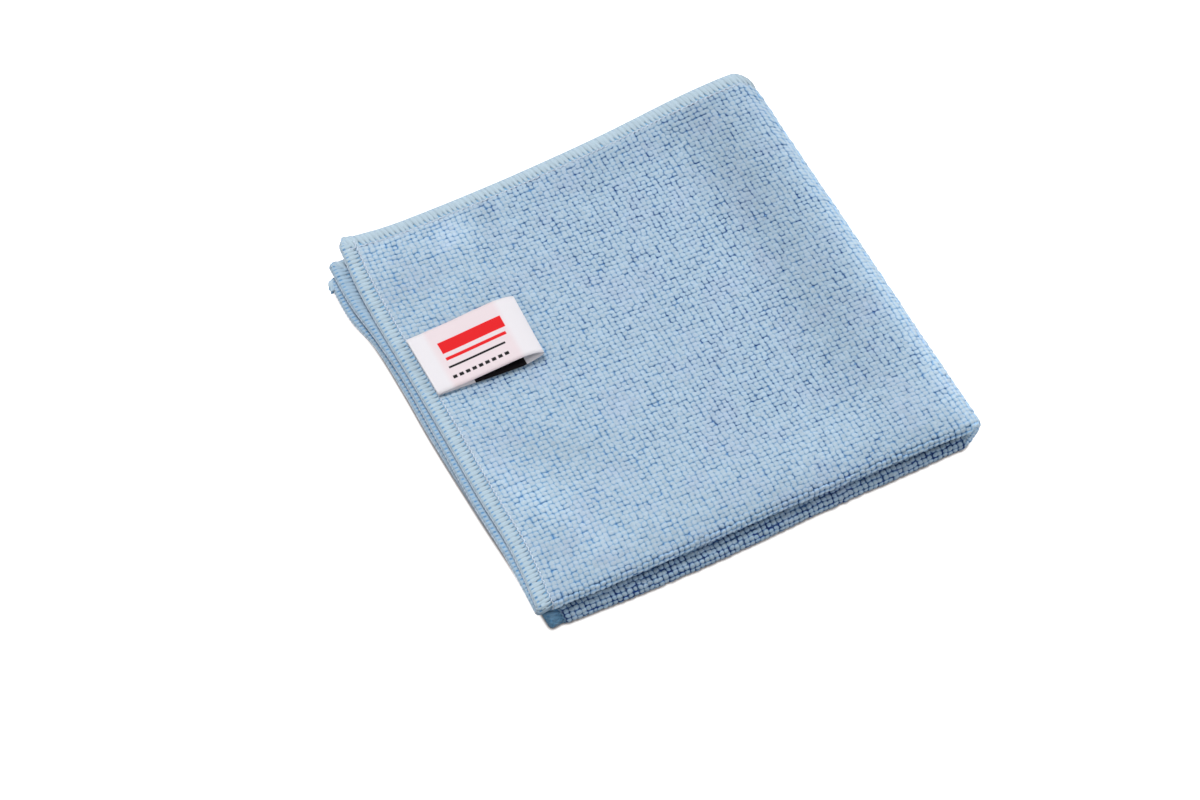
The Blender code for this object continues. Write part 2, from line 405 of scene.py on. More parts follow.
@dataclass(frozen=True)
class ThreadFinish:
    """Smooth textured sewing thread, laid in bundles, with painted shade on its underside, at its tips,
    between the stitches and on the lower layers.
    """

    name: str
    light: Color
    shadow: Color
    strands: float  # how many lines a bundle shows
    between: float = 0.0  # how much painted shade makes it blue between two stitches, just inside the rim
    deep: Color = paint(88, 150, 205)
    shaded: Color = paint(80, 136, 176)
    side_ends: Ends = (0.22, 0.44)  # where painted shade turns a stitch's sides blue, as a share of its width
    neck: float = 0.147  # where that painted blue lies, as a share of the stitch's length from its middle
    neck_ends: Ends = (0.03, 0.075)
    tip_ends: Ends = (0.36, 0.50)  # where painted shade darkens the tips, in the same shares
    tip_share: float = 0.15
    low_share: float = 0.22  # how much bluer painted shade makes the layers under the top one
    under_share: float = 0.85
    wander_size: float = 1.2 * MM
    fibre_size: float = 0.25 * MM
    line_swing: float = 0.08
    tone_swing: float = 0.06
    fibre_swing: float = 0.05

    def material(self) -> bpy.types.Material:
        """Build the material."""
        board = Board(bpy.data.materials.new(self.name))
        across, tone = board.attribute("across"), board.attribute("tone")
        from_middle = (board.attribute("along") - 0.5).size()
        lines = (across * self.strands + board.noise(self.wander_size) * 0.5 + tone).ripple()
        fibre = board.noise(self.fibre_size)
        color = board.blend(board.attribute("rise").ramp(0.0, 0.5), self.shadow, self.light)
        # Painted shade: darker tips, bluer thread on the lower layers and between two stitches, and deep
        # shade where the lower layers turn.
        color = board.blend(from_middle.ramp(*self.tip_ends) * self.tip_share, color, self.shadow)
        color = board.blend(board.attribute("low") * (self.between * self.low_share), color, self.deep)
        beside_neck = (from_middle - self.neck).size().ramp(*self.neck_ends)
        blob = across.size().ramp(*self.side_ends) * (1.0 - beside_neck)
        color = board.blend(blob * self.between, color, self.deep)
        color = board.blend(board.attribute("under") * self.under_share, color, self.shaded)
        amount = (
            0.98
            + (lines - 0.5) * self.line_swing
            + (tone - 0.5) * self.tone_swing
            + (fibre - 0.5) * self.fibre_swing
        )
        values = {
            "Base Color": board.shade(color, amount),
            "Roughness": 0.75,
            "Specular IOR Level": 0.25,
            "Sheen Weight": 0.2,
            "Sheen Roughness": 0.5,
            "Normal": board.bump(lines * 0.7 + fibre * 0.3, 0.12 * MM, 0.25),
        }
        return board.close(board.principled(values))


@dataclass(frozen=True)
class SatinFinish:
    """White woven satin tape with plain printed bars."""

    name: str = "satin"
    white: Color = paint(226, 223, 228)
    blush: Color = paint(226, 212, 217)
    red: Color = paint(222, 12, 22)
    black: Color = paint(18, 14, 18)
    # Each bar's ends along the tape, in millimetres from the seam, and its sides, from the front edge.
    red_bars: tuple[tuple[Ends, Ends], ...] = (((9.0, 34.0), (15.2, 20.4)), ((9.0, 33.0), (11.9, 13.3)))
    black_line: tuple[Ends, Ends] = ((8.4, 31.0), (8.4, 9.3))
    black_dashes: tuple[Ends, Ends] = ((8.0, 31.2), (3.6, 5.0))
    black_back: tuple[Ends, Ends] = ((50.2, 70.5), (-1.0, 40.0))
    bar_blur: float = 0.12
    dash_pitch: float = 2.6
    dash_middle: float = 0.36
    dash_ends: Ends = (0.34, 0.30)
    blush_ends: Ends = (6.5, 34.5)
    blush_blur: float = 1.5
    weave_pitch: float = 0.32
    grain_size: float = 0.4 * MM

    def material(self) -> bpy.types.Material:
        """Build the material."""
        board = Board(bpy.data.materials.new(self.name))
        along, across = board.attribute("along"), board.attribute("across")

        def bar(ends: Ends, sides: Ends) -> Wire:
            """A soft-edged bar: 1 inside it and 0 outside."""
            return along.band(*ends, self.bar_blur) * across.band(*sides, self.bar_blur)

        weave = across.ripple(self.weave_pitch) * 0.6 + board.noise(self.grain_size) * 0.4
        color = board.blend(along.band(*self.blush_ends, self.blush_blur), self.white, self.blush)
        dashes = ((along / self.dash_pitch).part() - self.dash_middle).size().ramp(*self.dash_ends)
        red = bar(*self.red_bars[0]) + bar(*self.red_bars[1])
        black = bar(*self.black_line) + bar(*self.black_dashes) * dashes + bar(*self.black_back)
        color = board.blend(red, color, self.red)
        color = board.blend(black, color, self.black)
        values = {
            "Base Color": board.shade(color, 0.98 + weave * 0.03),
            "Roughness": 0.55,
            "Specular IOR Level": 0.12,
            "Normal": board.bump(weave, 0.05 * MM, 0.3),
        }
        return board.close(board.principled(values))


@dataclass(frozen=True)
class FloorFinish:
    """A plain pale floor that glows evenly, with a painted contact shadow where the cloth touches it, and
    that throws little light back up.
    """

    name: str = "floor"
    color: Color = (0.60, 0.57, 0.56, 1.0)
    shine: Color = (1.0, 0.97, 0.95, 1.0)
    contact_shadow: Color = (0.02, 0.015, 0.015, 1.0)
    contact_reach: float = 1.4 * MM
    contact_ends: Ends = (0.42, 0.92)
    glow: float = 0.9
    bounce: Color = (0.20, 0.20, 0.20, 1.0)

    def material(self) -> bpy.types.Material:
        """Build the material."""
        board = Board(bpy.data.materials.new(self.name))
        plain = {"Roughness": 0.9, "Specular IOR Level": 0.1}
        reach = {"Distance": self.contact_reach}
        # Painted contact shadow: the glow fades where the cloth is close.
        free = board.wire("ShaderNodeAmbientOcclusion", {"samples": 8}, reach, "AO")
        shine = board.blend(free.ramp(*self.contact_ends), self.contact_shadow, self.shine)
        pale = {"Base Color": self.color, "Emission Color": shine, "Emission Strength": self.glow}
        shown = board.principled(plain | pale)
        thrown = board.principled(plain | {"Base Color": self.bounce})
        return board.close(board.by_ray(thrown, shown))


# ---------------------------------------------------------------------------------------------
# Repeated shapes


def new_object(name: str, data: bpy.types.ID) -> bpy.types.Object:
    """Make an object and put it in the scene."""
    obj = bpy.data.objects.new(name, data)
    bpy.context.scene.collection.objects.link(obj)
    return obj


def carry(mesh: bpy.types.Mesh, values: dict[str, Array]) -> None:
    """Let each point of a mesh carry numbers and shade it smooth.

    Args:
        mesh: The mesh.
        values: The numbers, by name.
    """
    for key, value in values.items():
        layer = mesh.attributes.new(key, "FLOAT", "POINT")
        layer.data.foreach_set("value", value.astype(np.float32).ravel())
    mesh.shade_smooth()


class Shape:
    """A small mesh that is repeated many times, as plain arrays."""

    def __init__(self, bm: bmesh.types.BMesh) -> None:
        """Read a bmesh and free it."""
        bmesh.ops.recalc_face_normals(bm, faces=bm.faces)
        bm.verts.index_update()
        self.points = np.array([vert.co[:] for vert in bm.verts])
        self.corners = np.array([vert.index for face in bm.faces for vert in face.verts])
        sizes = np.array([len(face.verts) for face in bm.faces])
        self.starts = np.cumsum(sizes) - sizes
        bm.free()

    def joined(self, name: str, points: Array, values: dict[str, Array]) -> bpy.types.Object:
        """Join copies of the shape into one object.

        Args:
            name: The object's name.
            points: Where each copy's points are, one row for each copy.
            values: Numbers that each point carries, by name.

        Returns:
            The object, smooth shaded.
        """
        count, size = points.shape[:2]
        step = np.arange(count)[:, None]
        corners = (self.corners + size * step).ravel()
        starts = (self.starts + len(self.corners) * step).ravel()
        mesh = bpy.data.meshes.new(name)
        mesh.vertices.add(count * size)
        mesh.vertices.foreach_set("co", points.astype(np.float32).ravel())
        mesh.loops.add(len(corners))
        mesh.loops.foreach_set("vertex_index", corners.astype(np.int32))
        mesh.polygons.add(len(starts))
        mesh.polygons.foreach_set("loop_start", starts.astype(np.int32))
        mesh.update(calc_edges=True)
        carry(mesh, {key: np.broadcast_to(value, (count, size)) for key, value in values.items()})
        return new_object(name, mesh)


def tuft_shape(segments: int, rings: int) -> Shape:
    """A soft squarish dome with a closed foot, one unit in radius and height."""
    fullness, crown = 0.78, 0.75
    bm = bmesh.new()
    bmesh.ops.create_uvsphere(bm, u_segments=segments, v_segments=2 * rings, radius=1.0)
    everything = bm.verts[:] + bm.edges[:] + bm.faces[:]
    bmesh.ops.bisect_plane(
        bm, geom=everything, dist=0.01, plane_co=(0, 0, 0), plane_no=(0, 0, 1), clear_inner=True
    )
    rim = [edge for edge in bm.edges if edge.is_boundary]
    bmesh.ops.holes_fill(bm, edges=rim, sides=0)
    for vert in bm.verts:
        radius = min(vert.co.xy.length, 1.0)
        if radius > 0.01:
            vert.co.xy *= radius**fullness / radius
        vert.co.z = max(vert.co.z, 0.0) ** crown
    return Shape(bm)


def strand_shape(sides: int, steps: int) -> Shape:
    """A closed straight strand: x and y round it, z from 0 to 1 along it."""
    bm = bmesh.new()
    bmesh.ops.create_cone(bm, cap_ends=True, segments=sides, radius1=1.0, radius2=1.0, depth=1.0)
    rails = [edge for edge in bm.edges if abs(edge.verts[0].co.z - edge.verts[1].co.z) > 0.5]
    bmesh.ops.subdivide_edges(bm, edges=rails, cuts=steps - 1, use_grid_fill=False)
    bmesh.ops.translate(bm, verts=bm.verts, vec=(0, 0, 0.5))
    return Shape(bm)


# ---------------------------------------------------------------------------------------------
# The folded sheet


class Swell(NamedTuple):
    """A long soft mound that lifts the layers, in millimetres and degrees."""

    x: float
    y: float
    turn: float
    half_length: float
    half_width: float
    top: float
    second: float
    third: float


class NapAndPaintedLight(NamedTuple):
    """A soft patch of lighter or darker pile, for the brushing and for painted light and shade, in
    millimetres and degrees.
    """

    x: float
    y: float
    turn: float
    half_length: float
    half_width: float
    tone: float


def within(patch: Swell | NapAndPaintedLight, x: Array, y: Array) -> Array:
    """How far places lie within a soft patch.

    Args:
        patch: The patch.
        x: First coordinate, in millimetres.
        y: Second coordinate, in millimetres.

    Returns:
        1 at its middle, and less and less towards 0 outside it.
    """
    turn = radians(patch.turn)
    over, up = x - patch.x, y - patch.y
    along = (over * cos(turn) + up * sin(turn)) / patch.half_length
    aside = (up * cos(turn) - over * sin(turn)) / patch.half_width
    return np.exp(-(along**2) - aside**2)


class Spot(NamedTuple):
    """Places on the folded sheet and the directions there."""

    point: Array
    right: Array  # towards a larger a
    down: Array  # towards a larger b
    out: Array  # away from the sheet's middle, on its outer face


def slopes(surface: Callable[[Array, Array], Array], a: Array, b: Array, step: float) -> tuple[Array, Array]:
    """Measure how a surface's points move along it.

    Args:
        surface: What gives the points at two lengths.
        a: Lengths from the top layer's left edge.
        b: Lengths from the top layer's back edge.
        step: How far to each side it is measured.

    Returns:
        How the points move for each metre of a, and for each metre of b.
    """
    right = (surface(a + step, b) - surface(a - step, b)) / (2 * step)
    down = (surface(a, b + step) - surface(a, b - step)) / (2 * step)
    return right, down


@dataclass(frozen=True)
class FoldedSheet:
    """The square sheet, folded first along its front edge and then round its right edge."""

    thickness: float = 2.6 * MM
    pair_pitch: float = 3.2 * MM
    middle_pitch: float = 3.4 * MM
    wrap_radius: float = 6.0 * MM
    swell_reach: float = 45.0 * MM
    left: float = -85.4 * MM
    right: float = 91.6 * MM
    back: float = 87.8 * MM
    front: float = -88.9 * MM
    front_corner_pull: float = 1.8 * MM
    back_corner_pull: float = 4.0 * MM
    corner_round: float = 4.0 * MM
    sharper: float = 0.7  # how much less the corners of the lower layers are rounded
    # Rows of along, then how far the top, second, third and bottom layers reach out, in millimetres.
    left_edge: Rows = (
        (0.00, 0.0, 6.2, 8.0, 5.0),
        (0.12, 1.2, 5.8, 7.8, 5.0),
        (0.22, 1.2, 3.8, 4.4, 3.2),
        (0.35, 0.5, 2.0, 3.2, 2.4),
        (0.50, -0.2, 1.7, 2.6, 2.0),
        (0.70, -0.8, 1.5, 0.8, 0.2),
        (0.85, -1.7, 0.3, -0.9, -1.8),
        (1.00, 0.2, 0.5, -2.6, -3.4),
    )
    back_edge: Rows = (
        (0.0, -0.2, -6.5, -10.5, -8.5),
        (0.1, -1.7, -6.0, -10.0, -8.0),
        (0.2, -1.3, -5.5, -9.0, -7.5),
        (0.4, 0.2, -4.0, -6.5, -5.0),
        (0.6, 2.8, -1.5, -3.5, -1.5),
        (0.8, 6.4, 1.5, 0.0, 3.0),
        (1.0, 6.4, 3.0, 3.0, 5.2),
    )
    # Rows of along, then how far the upper and the lower fold reach out.
    front_edge: Rows = (
        (0.0, 1.6, 4.8),
        (0.2, 1.4, 5.6),
        (0.4, 0.3, 5.0),
        (0.6, -0.3, 3.0),
        (0.8, -0.4, 1.8),
        (1.0, 1.2, 0.6),
    )
    right_edge: Rows = ((0.0, -0.8, -1.2), (0.5, 0.8, 0.6), (0.8, 1.6, 1.0), (1.0, 2.8, 1.0))
    swells: tuple[Swell, ...] = (
        Swell(-81.0, 86.0, 0.0, 24.0, 16.0, 1.4, 0.6, 0.1),
        Swell(-61.0, -50.0, -62.0, 34.0, 7.0, 1.0, 0.5, 0.2),
        Swell(19.0, -72.0, 2.0, 50.0, 11.0, 0.9, 0.6, 0.2),
        Swell(-49.0, 66.0, 20.0, 14.0, 9.0, 0.7, 0.3, 0.1),
        Swell(83.0, 84.0, -40.0, 22.0, 14.0, 0.9, 0.5, 0.1),
    )

    @property
    def half(self) -> float:
        """Half the sheet's thickness, with its pile."""
        return self.thickness / 2

    @property
    def wrap_x(self) -> float:
        """Where the right wrap starts."""
        return self.right - self.half - self.wrap_radius

    @property
    def hairpin_radius(self) -> float:
        """Of the sheet's middle in the front fold."""
        return self.pair_pitch / 2

    @property
    def hairpin_y(self) -> float:
        """Where the front hairpin starts."""
        return self.front + self.half + self.hairpin_radius

    @property
    def flat_a(self) -> float:
        """Length of a layer from its left edge to the wrap."""
        return self.wrap_x - self.left

    @property
    def flat_b(self) -> float:
        """Length of a layer from its back edge to the hairpin."""
        return self.back - self.hairpin_y

    @property
    def wrap_a(self) -> float:
        """Length of the wrap's outer face."""
        return pi * (self.wrap_radius + self.half)

    @property
    def hairpin_b(self) -> float:
        """Length of the hairpin's outer face."""
        return pi * (self.hairpin_radius + self.half)

    @property
    def length_a(self) -> float:
        """Length of the outer face from the top layer's left edge to the bottom layer's."""
        return 2 * self.flat_a + self.wrap_a

    @property
    def length_b(self) -> float:
        """Length of the outer face from the top layer's back edge to the second layer's."""
        return 2 * self.flat_b + self.hairpin_b

    @staticmethod
    def face_ends(flat: float, bend: float) -> list[float]:
        """Where each of FOLD_PARTS lies, for a flat part and a bend of these lengths or steps."""
        return [0.0, flat, flat + bend, 2 * flat + bend]

    def edge_reach(self, rows: Rows, along: Array, inward: Array, wrapped: Array) -> Array:
        """How far an edge reaches out.

        Args:
            rows: The edge's table, for two folds or for four layers.
            along: Where along the edge, from 0 to 1.
            inward: 0 on the outer sheet and 1 on the inner one.
            wrapped: 0 above the right wrap and 1 below it.

        Returns:
            The reach, in metres.
        """
        table = np.array(rows)
        reach = [smooth_curve(along, table[:, 0], column) for column in table[:, 1:].T]
        if len(reach) == 2:
            upper, lower = reach
        else:
            upper, lower = mix(reach[0], reach[1], inward), mix(reach[3], reach[2], inward)
        return mix(upper, lower, wrapped) * MM

    def mound_lift(self, x: Array, y: Array, inward: Array, wrapped: Array) -> Array:
        """Height that the soft mounds add to a layer.

        Args:
            x: First coordinate, in metres.
            y: Second coordinate, in metres.
            inward: 0 on the outer sheet and 1 on the inner one.
            wrapped: 0 above the right wrap and 1 below it.

        Returns:
            The height, in metres.
        """
        lift = np.zeros(np.broadcast(x, y).shape)
        for swell in self.swells:
            upper, lower = mix(swell.top, swell.second, inward), swell.third * inward
            lift += within(swell, x / MM, y / MM) * MM * mix(upper, lower, wrapped)
        return lift

    def middle(self, u: Array, v: Array) -> Array:
        """Points of the folded sheet's middle.

        Args:
            u: Fold parameter from the top layer's left edge round the right wrap.
            v: Fold parameter from the back edge round the front hairpin.

        Returns:
            Points, one row each.
        """
        u, v = np.broadcast_arrays(np.asarray(u, float), np.asarray(v, float))
        # The front hairpin, which lays the inner sheet under the outer one.
        bend = pi * np.clip(v - 1, 0, 1)
        depth = self.hairpin_radius * (1 - np.cos(bend))
        inward = depth / self.pair_pitch
        flat_v = np.where(v <= 1, v, np.where(v >= 2, 3 - v, 1.0))
        y = self.back + (self.hairpin_y - self.back) * flat_v - self.hairpin_radius * np.sin(bend)
        # The right wrap round both of them, fuller than the stack of layers that runs into it.
        radius = self.wrap_radius - depth
        angle = pi * np.clip(u - 1, 0, 1)
        in_wrap = (u > 1) & (u < 2)
        flat_u = np.where(u <= 1, u, np.where(u >= 2, 3 - u, 1.0))
        x = self.left + self.flat_a * flat_u + np.where(in_wrap, radius * np.sin(angle), 0.0)
        stack = self.half + 2 * self.pair_pitch + self.middle_pitch
        wrap_z = self.half + self.wrap_radius + radius * np.cos(angle)
        z = np.where(u <= 1, stack - depth, np.where(u >= 2, self.half + depth, wrap_z))
        fuller = self.half + 2 * self.wrap_radius - stack
        z = z + np.where(u <= 1, ease(1 - (self.wrap_x - x) / self.swell_reach) * fuller, 0.0)
        turned = ease(u - 1)
        z = z + self.mound_lift(np.where(in_wrap, self.wrap_x, x), y, inward, turned)
        # The rounded corners at the back left.
        rounding = self.corner_round * (1 - self.sharper * np.maximum(inward, turned))
        near_left = np.clip(1 - self.flat_a * flat_u / rounding, 0, 1)
        near_back = np.clip(1 - self.flat_b * flat_v / rounding, 0, 1)
        farther = np.maximum(np.hypot(near_left, near_back), 1e-9)
        cut = rounding * (1 - np.maximum(near_left, near_back) / farther)
        x = x + near_left * cut
        y = y - near_back * cut
        # How far each edge reaches out of the square.
        rightward = np.clip((x - self.left) / (self.right - self.left), 0, 1)
        forward = np.clip((self.back - y) / (self.back - self.front), 0, 1)
        left_reach = self.edge_reach(self.left_edge, forward, inward, turned)
        right_reach = self.edge_reach(self.right_edge, forward, inward, turned)
        back_reach = self.edge_reach(self.back_edge, rightward, inward, turned)
        front_reach = self.edge_reach(self.front_edge, rightward, inward, turned)
        back_reach = back_reach - self.back_corner_pull * np.sin(angle)
        front_reach = front_reach - self.front_corner_pull * np.sin(angle)
        x = x + right_reach * rightward**2 - left_reach * (1 - rightward) ** 2
        y = y + back_reach * (1 - forward) ** 2 - front_reach * forward**2
        return np.stack([x, y, z], axis=-1)

    def at(self, a: Array, b: Array) -> Array:
        """Points of the folded sheet's middle at two lengths.

        Args:
            a: Lengths from the top layer's left edge.
            b: Lengths from the top layer's back edge.

        Returns:
            Points, one row each.
        """
        u = np.interp(a, self.face_ends(self.flat_a, self.wrap_a), FOLD_PARTS)
        v = np.interp(b, self.face_ends(self.flat_b, self.hairpin_b), FOLD_PARTS)
        return self.middle(u, v)

    def spot(self, a: Array, b: Array) -> Spot:
        """Find places of the sheet's middle and their directions.

        Args:
            a: Lengths from the top layer's left edge.
            b: Lengths from the top layer's back edge.

        Returns:
            The places, with directions whose length is what one metre of a or b covers there.
        """
        step = 0.2 * MM
        a, b = np.broadcast_arrays(np.asarray(a, float), np.asarray(b, float))
        inner_a = np.clip(a, step, self.length_a - step)
        inner_b = np.clip(b, step, self.length_b - step)
        right, down = slopes(self.at, inner_a, inner_b, step)
        out = np.cross(down, right)
        out /= np.linalg.norm(out, axis=-1, keepdims=True)
        past = (a - inner_a)[..., None] * right
        point = self.at(inner_a, inner_b) + past + (b - inner_b)[..., None] * down
        return Spot(point, right, down, out)

    def skin(self, a: Array, b: Array, rise: float) -> Spot:
        """Find places of the sheet's middle with the directions that hold at a rise above it.

        Args:
            a: Lengths from the top layer's left edge.
            b: Lengths from the top layer's back edge.
            rise: How far out of the middle the directions are taken.

        Returns:
            The places, with the directions of the surface at that rise.
        """

        def raised(far_a: Array, far_b: Array) -> Array:
            """The surface's points at two lengths."""
            spot = self.spot(far_a, far_b)
            return spot.point + rise * spot.out

        here = self.spot(a, b)
        right, down = slopes(raised, a, b, 0.3 * MM)
        return Spot(here.point, right, down, here.out)


def finish_piece(
    piece: bpy.types.Object, material: bpy.types.Material, node: str
) -> bpy.types.Object:
    """Dress a piece and tie it to the frame.

    Args:
        piece: The new piece.
        material: Its material.
        node: The solid that it stands for.

    Returns:
        The piece.
    """
    piece.data.materials.clear()
    piece.data.materials.append(material)
    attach(piece, BODY)
    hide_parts(node)
    return piece


def grid_object(name: str, columns: int, rows: int, half: float = 1.0) -> bpy.types.Object:
    """Make a flat square grid.

    Args:
        name: The object's name.
        columns: How many steps it has one way.
        rows: How many steps it has the other way.
        half: Half its width.

    Returns:
        The grid.
    """
    mesh = bpy.data.meshes.new(name)
    bm = bmesh.new()
    bmesh.ops.create_grid(bm, x_segments=columns, y_segments=rows, size=half)
    bm.to_mesh(mesh)
    bm.free()
    return new_object(name, mesh)


def grid_shares(grid: bpy.types.Object) -> tuple[Array, Array]:
    """Say which column and row each point of a grid belongs to.

    Args:
        grid: A grid whose width is 2.

    Returns:
        The points' columns and their rows, both from 0 to 1.
    """
    flat = np.zeros(len(grid.data.vertices) * 3)
    grid.data.vertices.foreach_get("co", flat)
    shares = (flat.reshape(-1, 3) + 1) / 2
    return shares[:, 0], shares[:, 1]


def place_grid(grid: bpy.types.Object, points: Array, values: dict[str, Array], thickness: float) -> None:
    """Put a grid's points in place, give it its numbers and its thickness.

    Args:
        grid: The grid.
        points: Where its points go.
        values: Numbers that each point carries, by name.
        thickness: How thick the sheet is.
    """
    grid.data.vertices.foreach_set("co", points.ravel())
    grid.data.update()
    carry(grid.data, values)
    solid = grid.modifiers.new("thickness", "SOLIDIFY")
    solid.thickness = thickness
    solid.offset = 0.0


# ---------------------------------------------------------------------------------------------
# The cloth's pieces


@dataclass
class GroundCloth:
    """The knitted sheet itself, which carries the pile."""

    sheet: FoldedSheet
    thickness: float = 1.5 * MM
    flat_size: Ends = (0.36, 0.36)
    flat_steps: int = 50
    wrap_steps: int = 16
    hairpin_steps: int = 12

    def fold_steps(self, share: Array, bend_steps: int) -> Array:
        """Turn a grid's share from 0 to 1 into a fold parameter with finer steps in the bend."""
        places = self.sheet.face_ends(self.flat_steps, bend_steps)
        return np.interp(np.round(share * places[-1]), places, FOLD_PARTS)

    def build(self) -> bpy.types.Object:
        """Make the folded sheet."""
        sheet, flat = self.sheet, 2 * self.flat_steps
        grid = grid_object("cloth_ground", flat + self.wrap_steps, flat + self.hairpin_steps)
        column, row = grid_shares(grid)
        u = self.fold_steps(column, self.wrap_steps)
        v = self.fold_steps(row, self.hairpin_steps)
        a = np.interp(u, FOLD_PARTS, sheet.face_ends(sheet.flat_a, sheet.wrap_a))
        b = np.interp(v, FOLD_PARTS, sheet.face_ends(sheet.flat_b, sheet.hairpin_b))
        inward = np.minimum(np.minimum(a, sheet.length_a - a), np.minimum(b, sheet.length_b - b))
        place_grid(grid, sheet.middle(u, v), {"across": a, "inward": inward / MM}, self.thickness)
        return finish_piece(grid, GroundFinish().material(), CLOTH_NODE)


class Patch(NamedTuple):
    """A part of the sheet that one piece of pile covers, as lengths from the left and the back edge."""

    name: str
    start_a: float
    stop_a: float
    start_b: float
    stop_b: float
    side: Side
    shape: Shape
    height: float
    spread: float  # how wide the tufts are, as a share of their pitch


@dataclass
class Pile:
    """Short tufts that stand in columns and slightly slanting rows."""

    sheet: FoldedSheet
    column_pitch: float = 2.06 * MM
    row_pitch: float = 1.92 * MM
    margin: float = 6.7 * MM  # from the cut edge to the first tufts
    fold_in: float = 9.0 * MM  # how far the pile goes on inside the front folds
    back_strip: float = 5.0 * MM  # how much of the inner face has pile at the open back edge
    foot: float = 0.52 * MM
    height: float = 0.76 * MM
    fold_height: float = 1.00 * MM
    spread: float = 0.715
    fold_spread: float = 0.65
    squareness: float = 2.3
    # The rows come down by the slant for each length to the right, and by less of it past the knee.
    slant: float = 0.096
    slant_end: float = 0.045
    slant_knee: float = 90.0 * MM
    slant_head: float = 18.0 * MM
    evened_rows: int = 4
    drift: float = 0.09 * MM
    jitter: float = 0.09 * MM
    # How unlike the tufts are.
    size_swing: float = 0.04
    depth_swing: float = 0.05
    height_swing: float = 0.10
    tone_swing: float = 0.22
    twist: float = 0.18
    lean: float = 0.14 * MM
    lumps: Ends = (0.09, 0.06)
    twin_share: float = 0.04
    twin_width: float = 1.22
    small_share: float = 0.05
    small_size: float = 0.82
    small_height: float = 0.75
    # Where each of these starts and how far it takes to be in full, in millimetres: the upper layers, the
    # right fold's face and rim, the painted shade in the gaps to the right, less of it in front, and on the
    # front face.
    upper_z: Ends = (5.4, 1.6)
    side_x: Ends = (84.0, 4.0)
    rim_x: Ends = (82.0, 8.0)
    right_x: Ends = (-70.0, 110.0)
    front_y: Ends = (45.0, 25.0)
    face_y: Ends = (85.0, 3.0)
    # The middle and half size of the label's painted shadow on the pile in front of it.
    label_x: Ends = (-53.0, 20.0)
    label_y: Ends = (4.6, 2.8)
    # How much painted shade darkens the lower layers and painted light lightens the faces of the folds.
    lower_shade: float = -0.03
    face_light: float = 0.65
    face_least: float = 0.40
    face_most: float = 0.6
    # How much painted shade darkens the gaps: to the right, in the label's painted shadow in front of it,
    # and on the upper and lower folds.
    gap_shade_right: float = 1.7
    label_shadow: float = 2.0
    gap_shade_face: float = 0.7
    gap_shade_fold: float = 2.6
    # How much painted shade the lightest gaps get, and how much more the darkest.
    gap_shade_least: float = 0.5
    gap_shade_swing: float = 1.8
    draw: np.random.Generator = field(default_factory=lambda: np.random.default_rng(PILE_SEED))
    # Patches, placed one by one, where the pile on the top layer is brushed lighter or darker, and of
    # painted light and shade: the label's painted shadow, a painted highlight along the right rim, and
    # painted light and shade on the mounds and slopes.
    naps_and_painted_light: tuple[NapAndPaintedLight, ...] = (
        NapAndPaintedLight(64.0, 60.0, 92.0, 60.0, 15.0, -0.17),
        NapAndPaintedLight(64.0, -25.0, 90.0, 45.0, 14.0, -0.11),
        NapAndPaintedLight(24.0, 79.0, 8.0, 30.0, 9.0, -0.09),
        NapAndPaintedLight(44.0, 18.0, 90.0, 40.0, 14.0, 0.03),
        NapAndPaintedLight(92.0, 0.0, 90.0, 160.0, 6.5, 0.36),
        NapAndPaintedLight(18.0, -70.0, 2.0, 90.0, 10.0, -0.03),
        NapAndPaintedLight(0.0, -84.5, 0.0, 160.0, 4.5, -0.10),
        NapAndPaintedLight(52.0, -68.0, 3.0, 45.0, 9.0, 0.07),
        NapAndPaintedLight(-53.0, 5.0, 2.0, 20.0, 2.6, -0.14),
        NapAndPaintedLight(-66.0, -50.0, -62.0, 30.0, 6.0, 0.13),
        NapAndPaintedLight(-52.0, -31.0, -32.0, 24.0, 8.0, -0.08),
        NapAndPaintedLight(-68.0, -68.0, 20.0, 12.0, 7.0, -0.06),
        NapAndPaintedLight(-46.0, 72.0, 20.0, 9.0, 7.0, 0.15),
        NapAndPaintedLight(-30.0, 75.0, 60.0, 7.0, 6.0, -0.09),
        NapAndPaintedLight(-72.0, 57.0, 25.0, 16.0, 9.0, -0.07),
        NapAndPaintedLight(-70.0, 80.0, 10.0, 20.0, 8.0, 0.06),
    )

    def slant_shift(self, a: Array, b: Array) -> Array:
        """How far a row has come down at a place, which dies away towards the front fold.

        Args:
            a: Lengths from the left edge.
            b: Lengths from the back edge.

        Returns:
            How much longer b has become.
        """
        a = np.clip(a, 0, self.sheet.flat_a)
        past = np.maximum(a - self.slant_knee, 0)
        bend = (self.slant - self.slant_end) / (self.sheet.flat_a - self.slant_knee) / 2
        shift = self.slant * a - bend * past**2
        return shift * np.clip(1 - b / self.sheet.flat_b, 0, 1)

    def evened(self, a: Array, b: Array) -> tuple[Array, Array, Array]:
        """Add a straight line of tufts along the seam and even out the first slanting rows after it.

        Args:
            a: Lengths from the left edge, with a column of the array for each column of tufts.
            b: Lengths from the back edge.

        Returns:
            The new lengths, and which of the tufts are kept.
        """
        kept = b > self.margin + 0.5 * self.row_pitch
        first = kept.argmax(axis=0)
        gap = self.row_pitch - (b[first, np.arange(b.shape[1])] - self.margin)
        order = np.arange(len(b))[:, None] - first
        b = b + gap * np.clip(1 - order / self.evened_rows, 0, 1)
        line = np.full((1, b.shape[1]), self.margin)
        return np.vstack([a[:1], a]), np.vstack([line, b]), np.vstack([line > 0, kept])

    def wander(self, a: Array, b: Array, broad: float, seed: int) -> Array:
        """How far tufts stand from their even places, in broad waves with narrow ones on them."""
        narrow = 5 * MM
        return self.drift * (soft_noise(a, b, broad, seed) + 0.5 * soft_noise(a, b, narrow, seed + 1))

